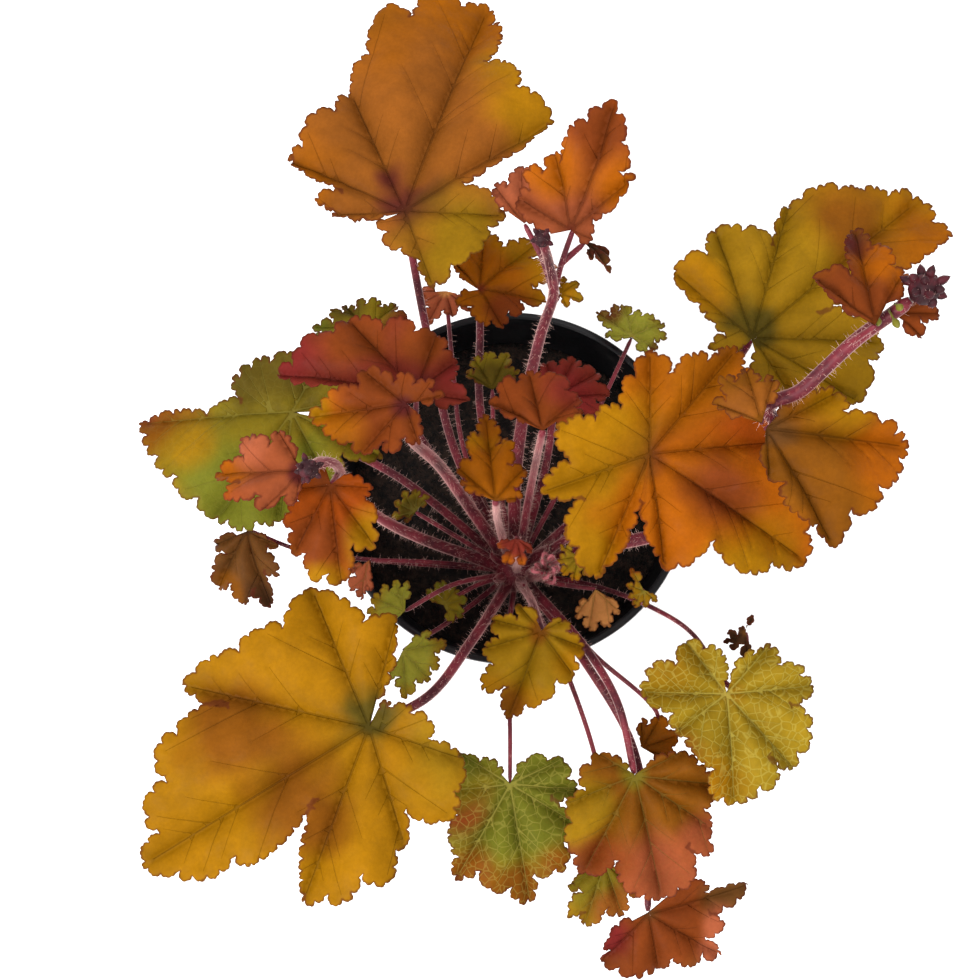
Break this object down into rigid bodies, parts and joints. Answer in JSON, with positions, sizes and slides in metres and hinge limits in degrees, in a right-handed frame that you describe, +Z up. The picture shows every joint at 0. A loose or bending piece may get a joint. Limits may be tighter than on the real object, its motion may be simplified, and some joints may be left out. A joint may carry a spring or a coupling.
{
  "type": "heuchera plant in a nursery pot",
  "caption": "Potted heuchera seen as bought: amber, orange and olive lobed leaves and bud stems on hairy rose stalks, in a black round nursery pot of compost.",
  "frame": {"origin": "middle of the underside of the pot's base, where the pot rests", "axes": "+Z up along the pot's axis, +X to the viewer's right, +Y away from the viewer"},
  "size_m": [0.2651, 0.3208, 0.2715],
  "materials": {
    "pot": "black injection moulded plastic, satin, a little dusty",
    "compost": "dark peaty compost with bark fibres",
    "stalks": "rose red hairy stalks",
    "buds": "maroon hairy flower buds",
    "amber_leaf": "amber leaf with veins and pink underside",
    "orange_leaf": "orange leaf with veins and pink underside",
    "gold_leaf": "golden leaf with veins and pink underside",
    "olive_leaf": "olive leaf with an orange margin and pink underside",
    "red_leaf": "brick red leaf with pink underside",
    "brown_leaf": "rusty brown ageing leaf",
    "pink_leaf": "rose pink leaf underside",
    "dry_leaf": "dry brown shrivelled leaf"
  },
  "bodies": {
    "root": {"pot": "pot", "compost": "compost", "crown_and_stalks": "stalks", "bud_head_top": "buds", "bud_head_right": "buds", "bud_head_far_left": "buds", "leaf_top_amber": "amber_leaf", "leaf_top_orange_upright": "orange_leaf", "leaf_back_brown": "amber_leaf", "leaf_right_gold": "gold_leaf", "leaf_right_orange": "orange_leaf", "leaf_right_bract": "amber_leaf", "leaf_right_small_bract": "amber_leaf", "leaf_bud_bract_up": "amber_leaf", "leaf_bud_bract_low": "amber_leaf", "leaf_left_red": "red_leaf", "leaf_left_orange_front": "orange_leaf", "leaf_left_bract_low": "orange_leaf", "leaf_left_bract_tip": "orange_leaf", "leaf_left_olive": "olive_leaf", "leaf_back_left_olive": "olive_leaf", "leaf_left_brown": "brown_leaf", "leaf_front_left_gold": "gold_leaf", "leaf_front_green_a": "olive_leaf", "leaf_front_green_b": "olive_leaf", "leaf_front_green_c": "olive_leaf", "leaf_centre_gold": "gold_leaf", "leaf_centre_red": "red_leaf", "leaf_left_small_green": "olive_leaf", "leaf_front_gold": "gold_leaf", "leaf_front_green_orange": "olive_leaf", "leaf_front_orange_brown": "amber_leaf", "leaf_front_brown_under": "brown_leaf", "leaf_front_bottom_brown": "brown_leaf", "leaf_front_bottom_yellow": "olive_leaf", "leaf_front_right_gold": "gold_leaf", "leaf_front_peach": "orange_leaf", "leaf_front_lime": "olive_leaf", "leaf_centre_brown": "brown_leaf", "leaf_back_red": "red_leaf", "leaf_back_centre_olive": "olive_leaf", "leaf_left_pink": "pink_leaf", "leaf_centre_yellow": "gold_leaf", "leaf_back_pink": "pink_leaf", "leaf_top_pink_under": "pink_leaf", "leaf_back_olive": "olive_leaf", "leaf_stem_yellow_bract": "gold_leaf", "leaf_dry_bract": "dry_leaf", "leaf_front_right_dry": "dry_leaf"}
  },
  "joints": []
}
